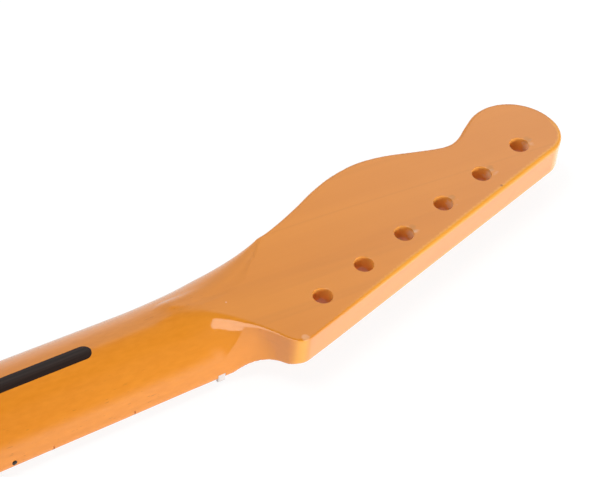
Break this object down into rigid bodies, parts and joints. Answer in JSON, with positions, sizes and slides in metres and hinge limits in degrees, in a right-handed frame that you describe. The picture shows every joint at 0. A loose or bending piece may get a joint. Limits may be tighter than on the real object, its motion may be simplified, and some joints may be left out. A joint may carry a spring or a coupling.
{
  "type": "electric guitar neck",
  "caption": "Maple guitar neck with frets, nut, dots and an adjustable truss rod under a dark stripe in its back; bare in-line headstock.",
  "frame": {"origin": "middle of the four-screw pattern on the flat back of the heel, where the body's neck pocket meets the neck", "axes": "+X along the neck from the heel to the headstock's tip, +Y towards the treble side, +Z out of the neck's back; the neck lies on its frets"},
  "size_m": [0.6429, 0.0724, 0.0276],
  "materials": {
    "maple": "amber tinted clear gloss lacquer",
    "walnut": "dark wood under clear gloss lacquer",
    "rod_steel": "turned mild steel, lightly oiled",
    "fret_wire": "polished nickel silver wire",
    "nut_white": "white synthetic bone, polished on top",
    "dot_black": "black inlay, flush under the lacquer"
  },
  "bodies": {
    "neck": {"neck_blank": "maple", "back_stripe": "walnut", "anchor_plug": "walnut", "truss_rod": "rod_steel", "truss_anchor": "rod_steel", "truss_washer": "rod_steel", "string_nut": "nut_white", "fret_01": "fret_wire", "fret_02": "fret_wire", "fret_03": "fret_wire", "fret_04": "fret_wire", "fret_05": "fret_wire", "fret_06": "fret_wire", "fret_07": "fret_wire", "fret_08": "fret_wire", "fret_09": "fret_wire", "fret_10": "fret_wire", "fret_11": "fret_wire", "fret_12": "fret_wire", "fret_13": "fret_wire", "fret_14": "fret_wire", "fret_15": "fret_wire", "fret_16": "fret_wire", "fret_17": "fret_wire", "fret_18": "fret_wire", "fret_19": "fret_wire", "fret_20": "fret_wire", "fret_21": "fret_wire", "face_dot_03": "dot_black", "face_dot_05": "dot_black", "face_dot_07": "dot_black", "face_dot_09": "dot_black", "face_dot_12_bass": "dot_black", "face_dot_12_treble": "dot_black", "face_dot_15": "dot_black", "face_dot_17": "dot_black", "face_dot_19": "dot_black", "face_dot_21": "dot_black", "side_dot_03": "dot_black", "side_dot_05": "dot_black", "side_dot_07": "dot_black", "side_dot_09": "dot_black", "side_dot_12_low": "dot_black", "side_dot_12_high": "dot_black", "side_dot_15": "dot_black", "side_dot_17": "dot_black", "side_dot_19": "dot_black", "side_dot_21": "dot_black"},
    "truss_nut": {"truss_adjusting_nut": "rod_steel"}
  },
  "joints": [
    {"name": "truss_nut_turn", "type": "hinge", "parent": "neck", "child": "truss_nut", "pos_m": [-0.0301, 0, -0.0154], "axis": [1, 0, 0], "range_deg": [-360, 360]}
  ]
}
